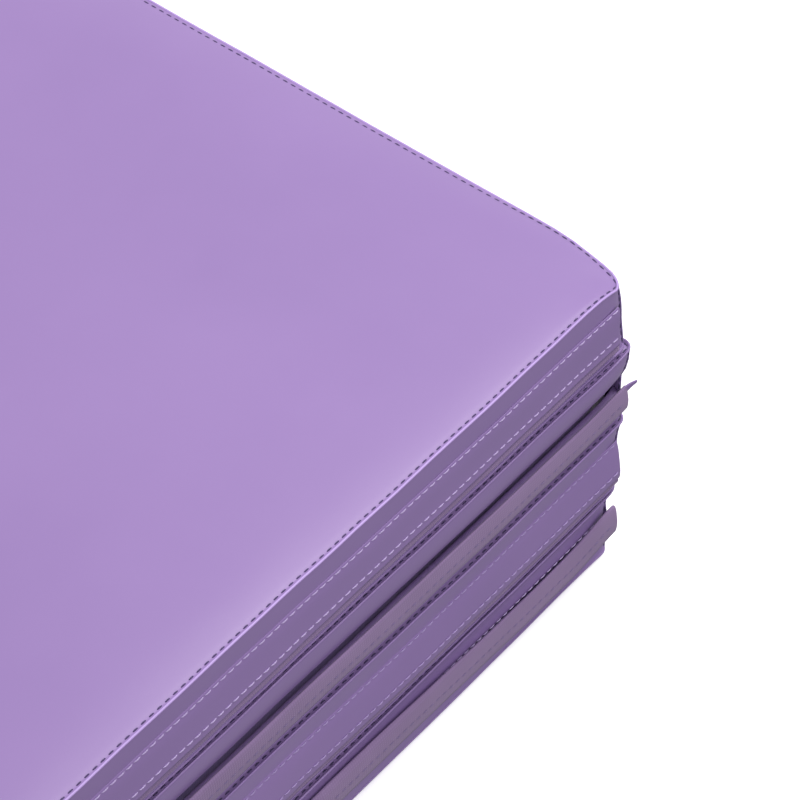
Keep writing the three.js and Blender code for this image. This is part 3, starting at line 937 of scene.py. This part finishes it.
def make_zip(cover):
    """The tape behind the slot, with its coil, and the stitching that holds the strips to it."""
    n = cover.n
    low, high = slot_of(n)
    centre = (low + high) / 2
    xs = np.arange(-HALF_X + 8, HALF_X - 7, 14.0)
    heights = centre + np.array([-11, -7, -3.5, -1.7, 0, 1.7, 3.5, 7, 11])
    depth = np.array([4.5, 4.5, 4.4, 4.1, 4.0, 4.1, 4.4, 4.5, 4.5])
    grid = np.array([[(x, -HALF_Y + d, BASE[n] + h) for h, d in zip(heights, depth)] for x in xs]) * MM
    tape = sheet_from(f"panel{n}_tape_cloth", grid, (0, 1, 0), 0.7, TAPE)
    done(tape, f"panel{n}", "zip_tape", f"panel{n}_zip_tape")
    line = np.array([(x, -HALF_Y + 3.4, BASE[n] + centre) for x in xs]) * MM
    facing = (0, -1.0, 0)
    runs = [(line, facing), (line + np.array([0, 0, 0.5 * MM]), facing)]
    coil = stitches(f"panel{n}_zip_coil", runs, COIL, 3.0, 0.42, 1.15, across=True)
    done(coil, f"panel{n}", "zip_tape")
    xs = np.linspace(-HALF_X + 14, HALF_X - 12, 60)
    lower_edge = low - LOWERED_STRIP_MM if n in FLIPPED else low
    runs = []
    for h in (lower_edge - 1.7, high + 1.7):
        out = front_out(n, xs, np.full(len(xs), h)) + 0.05
        runs.append((np.stack([xs, -HALF_Y - out, np.full(len(xs), BASE[n] + h)], 1) * MM, facing))
    done(stitches(f"panel{n}_zip_stitching", runs, PALE_THREAD, 3.8, 0.32), f"panel{n}", "vinyl")


# ---- Hinges ----
HINGE_SIDES = {1: "left", 2: "right", 3: "left"}  # where panel n is joined to the one below it
HALF_HINGE_LINE = [(0.9, 2.2), (2.8, 1.5), (5.5, 0.8), (8, 0.65), (9.2, 0.55)]
# Centre line of a strip as (height above the fold, distance outside the walls).
HINGE_LINE = [(-h, out) for h, out in reversed(HALF_HINGE_LINE)] + [(0, 1.9)] + HALF_HINGE_LINE


def make_hinge(n):
    """The strip of cloth that joins panel n to the one below it."""
    side, lower, upper = HINGE_SIDES[n], n + 1, n
    sign = 1 if side == "right" else -1
    wall = right_out if side == "right" else left_out
    fold = (BASE[n] + BASE[lower] + THICK) / 2
    ys = np.concatenate([[-591, -588.5, -584], np.arange(-576, 577, 16.0), [584, 588.5, 591]])
    rows = []
    for y in ys:
        row = []
        for dh, out in HINGE_LINE:
            panel = upper if dh > 0 else lower
            height = np.clip(fold + dh - BASE[panel], 0, THICK)
            stand = max(float(wall(panel, y, height)), float(wall(upper, y, 0.0)) * (abs(dh) < 3), -0.4)
            belly = out + 0.35 * math.exp(-(dh / 3) ** 2) * float(waves(90 + n, y, 0, 50, 220))
            row.append((sign * (HALF_X + stand + belly), y, fold + dh))
        rows.append(row)
    middle = np.array(rows) * MM
    normals = grid_normals(middle)
    if normals[len(ys) // 2, 5, 0] * sign < 0:
        normals = -normals
    half = 0.5 * MM
    strip = grid_solid(f"hinge_{n}_{lower}_cloth", middle + normals * half, middle - normals * half, VINYL)
    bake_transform(strip)
    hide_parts(f"hinge_strip_{n}_{lower}")
    outside = middle + normals * half
    for column, panel in ((1, lower), (-2, upper)):
        run = [(outside[1:-1, column], normals[1:-1, column])]
        row = stitches(f"hinge_{n}_{lower}_stitching_{panel}", run, PALE_THREAD, 3.0, 0.27)
        done(row, f"panel{panel}", "vinyl")


# ---- Handles and joining strips ----
def handle_stand_off(from_end, low, high, sewn=38.0, ramp=46.0):
    """A handle's distance from the wall: low along its sewn end, then rising to high."""
    return low + smooth((from_end - sewn) / ramp) * (high - low)


def make_handle(n):
    """A carry handle of webbing, with its stitching and the patches under its ends."""
    low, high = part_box(f"carry_handle_{n}")
    half = (high.y - low.y) / 2 / MM
    centre, width = (low.z + high.z) / 2 / MM, (high.z - low.z) / MM
    near, far = -high.x / MM - HALF_X, -low.x / MM - HALF_X
    thick = 1.8
    ys = np.arange(-half, half + 0.1, 4.0)
    across = np.array([-1, -0.94, -0.75, -0.4, 0, 0.4, 0.75, 0.94, 1])
    outer, inner = [], []
    for y in ys:
        stand = handle_stand_off(half - abs(y), near, far - thick)
        gather = 1 - 0.06 * smooth((half - abs(y) - 60) / 60)
        crown = 0.5 * smooth((half - abs(y) - 40) / 50)
        for side, extra in ((outer, thick), (inner, 0.0)):
            x = -HALF_X - stand - extra + crown * across**2
            z = centre + across * width / 2 * gather
            side.append(np.stack([x, np.full(len(across), y), z], 1))
    outer, inner = np.array(outer) * MM, np.array(inner) * MM
    handle = grid_solid(f"handle_{n}_webbing", outer, inner, WEBBING)
    done(handle, f"panel{n}", "webbing", f"carry_handle_{n}")
    runs = box_cross(centre, half, width, -HALF_X - near - thick)
    done(stitches(f"handle_{n}_stitching", runs, PALE_THREAD, 2.4, 0.3, 3.2), f"panel{n}", "webbing")
    for label in ("front", "back"):
        make_patch(n, label)


def box_cross(centre, half, width, face):
    """The sewn square with a cross at each end of a handle."""
    runs = []
    for end in (-1, 1):
        ys = end * (half - 4), end * (half - 34)
        zs = centre - width / 2 + 4, centre + width / 2 - 4
        corners = [(ys[0], zs[0]), (ys[1], zs[0]), (ys[1], zs[1]), (ys[0], zs[1])]
        lines = [(0, 1), (1, 2), (2, 3), (3, 0), (0, 2), (1, 3)]
        for a, b in lines:
            t = np.linspace(0, 1, 12)[:, None]
            flat = np.array([corners[a]]) * (1 - t) + np.array([corners[b]]) * t
            runs.append((np.concatenate([np.full((12, 1), face), flat], 1) * MM, (-1.0, 0, 0)))
    return runs


def make_patch(n, label):
    """The vinyl patch under one end of a handle, thinned towards its edges."""
    low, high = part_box(f"handle_patch_{n}_{label}")
    u = np.array([0, 0.03, 0.1, 0.25, 0.5, 0.75, 0.9, 0.97, 1])
    fall = 0.45 * (1 - np.minimum(u, 1 - u) * 8).clip(0, 1)
    fall = np.maximum(fall[:, None], fall[None, :])
    y, z = np.meshgrid(low.y + (high.y - low.y) * u, low.z + (high.z - low.z) * u, indexing="ij")
    outer = np.stack([low.x + fall * MM, y, z], -1)
    inner = np.stack([np.full(y.shape, high.x), y, z], -1)
    patch = grid_solid(f"handle_{n}_patch_{label}", outer, inner, PALE_VINYL_PATCHES_AND_HIGHLIGHT)
    done(patch, f"panel{n}", "vinyl", f"handle_patch_{n}_{label}")


def joining_stand(n, y, z):
    """How far the right wall stands outside its plane at y and z, in metres, and never less than 0."""
    return np.maximum(right_out(n, y / MM, z / MM - BASE[n]), 0.0) * MM


def make_joining_strip(node, n, material):
    """The hook or the loop strip on panel n's free edge."""
    low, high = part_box(node)
    ys = np.arange(low.y, high.y + 1e-6, (high.y - low.y) / 96)
    u = np.array([0, 0.02, 0.08, 0.25, 0.5, 0.75, 0.92, 0.98, 1])
    zs = low.z + (high.z - low.z) * u
    round_off = 0.7 * MM * (1 - np.minimum(u, 1 - u) / 0.09).clip(0, 1)
    y, z = np.meshgrid(ys, zs, indexing="ij")
    stand = joining_stand(n, y, z)
    pile = 0.12 * MM * waves(120 + n, y / MM, z / MM, 3, 9)
    outer = np.stack([high.x + stand - round_off[None] + pile, y, z], -1)
    inner = np.stack([low.x + stand, y, z], -1)
    strip = grid_solid(f"{node}_tape", outer, inner, material)
    done(strip, f"panel{n}", "hook_and_loop", node)
    runs = []
    for t in (0.07, 0.93):
        level = np.full(len(ys), low.z + (high.z - low.z) * t)
        xs = high.x + joining_stand(n, ys, level) - 0.25 * MM
        runs.append((np.stack([xs, ys, level], 1), (1.0, 0, 0)))
    done(stitches(f"{node}_stitching", runs, DARK_THREAD_AND_GROOVE_SHADE, 3.0, 0.3), f"panel{n}", "hook_and_loop")


for number in PANELS:
    shell = Cover(number)
    make_faces(shell)
    make_front(shell)
    make_core(shell)
    make_seams(shell)
    make_edge_stitching(shell)
    make_zip(shell)
    if number in FLIPPED:
        make_fallen_flap(number)
    else:
        make_closed_flap(number)
    for part in ("slider", "pull"):
        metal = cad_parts[f"panel{number}_zip_{part}"]
        metal.data.materials.clear()
        metal.data.materials.append(ENAMEL)
for number in HINGE_SIDES:
    make_hinge(number)
for number in (2, 3):
    make_handle(number)
make_joining_strip("hook_strip", 1, HOOKS)
make_joining_strip("loop_strip", 4, LOOPS)


# ---- Floor, light and camera ----
FLOOR_HALF, FLOOR_Z = 40.0, -0.0008
SOFTBOX_SIZE, SOFTBOX_WATTS = 1.0, 13.0
SOFTBOX_AT, SOFTBOX_AIM = (0.75, -0.72, 1.45), (0.25, -0.55, 0.2)
TENT_STRENGTH = (0.38, 0.90)  # below the horizon and above it
VIEW_AZIMUTH, VIEW_ELEVATION = math.radians(-50.97), math.radians(48.03)
VIEW_DISTANCE = 1.706
AIM_FROM_CORNER = (-0.1320, 0.0317, 0.0)  # from the front right corner of the top face
LENS_MM = 168.75


def make_floor():
    mesh = bpy.data.meshes.new("floor")
    corners = [(x * FLOOR_HALF, y * FLOOR_HALF, FLOOR_Z) for x, y in ((-1, -1), (1, -1), (1, 1), (-1, 1))]
    mesh.from_pydata(corners, [], [(0, 1, 2, 3)])
    floor = add_object("floor", mesh, floor_material())
    floor.visible_diffuse = floor.visible_glossy = False  # the light tent lights the mat instead


def make_softbox():
    """One large overhead softbox, from the right."""
    light = bpy.data.lights.new("overhead_softbox", "AREA")
    light.shape, light.size = "SQUARE", SOFTBOX_SIZE
    light.energy = SOFTBOX_WATTS
    light.color = (1.0, 1.0, 0.94)
    obj = bpy.data.objects.new("overhead_softbox", light)
    bpy.context.scene.collection.objects.link(obj)
    obj.location = SOFTBOX_AT
    obj.rotation_euler = (Vector(SOFTBOX_AT) - Vector(SOFTBOX_AIM)).to_track_quat("Z", "Y").to_euler()


def make_world():
    """A light tent, dim below the horizon; the camera sees it plain and pale."""
    world = bpy.data.worlds.new("studio")
    world.use_nodes = True
    tree = world.node_tree
    add, join = tree.nodes.new, tree.links.new
    lit = tree.nodes["Background"]
    height = add("ShaderNodeSeparateXYZ")
    join(add("ShaderNodeTexCoord").outputs["Generated"], height.inputs[0])
    strength = add("ShaderNodeMapRange")
    for socket, value in zip(RANGE_SOCKETS, (-0.1, 0.25, *TENT_STRENGTH)):
        strength.inputs[socket].default_value = value
    join(height.outputs["Z"], strength.inputs["Value"])
    join(strength.outputs["Result"], lit.inputs["Strength"])
    lit.inputs["Color"].default_value = (0.965, 0.935, 1.03, 1)
    plain = add("ShaderNodeBackground")
    plain.inputs["Color"].default_value = (0.97, 0.97, 0.97, 1)
    both = add("ShaderNodeMixShader")
    join(add("ShaderNodeLightPath").outputs["Is Camera Ray"], both.inputs[0])
    join(lit.outputs[0], both.inputs[1])
    join(plain.outputs[0], both.inputs[2])
    join(both.outputs[0], tree.nodes["World Output"].inputs["Surface"])
    bpy.context.scene.world = world


def make_camera():
    corner = Vector((HALF_X * MM, -HALF_Y * MM, (BASE[1] + THICK) * MM))
    aim = corner + Vector(AIM_FROM_CORNER)
    back = Vector((
        math.sin(VIEW_AZIMUTH) * math.cos(VIEW_ELEVATION),
        -math.cos(VIEW_AZIMUTH) * math.cos(VIEW_ELEVATION),
        math.sin(VIEW_ELEVATION),
    ))
    data = bpy.data.cameras.new("camera")
    data.sensor_width, data.lens = 36.0, LENS_MM
    data.clip_start, data.clip_end = 0.05, 100
    camera = bpy.data.objects.new("camera", data)
    bpy.context.scene.collection.objects.link(camera)
    camera.location = aim + back * VIEW_DISTANCE
    camera.rotation_euler = (-back).to_track_quat("-Z", "Y").to_euler()
    bpy.context.scene.camera = camera


make_floor()
make_softbox()
make_world()
make_camera()
bpy.context.scene.view_settings.view_transform = "Standard"
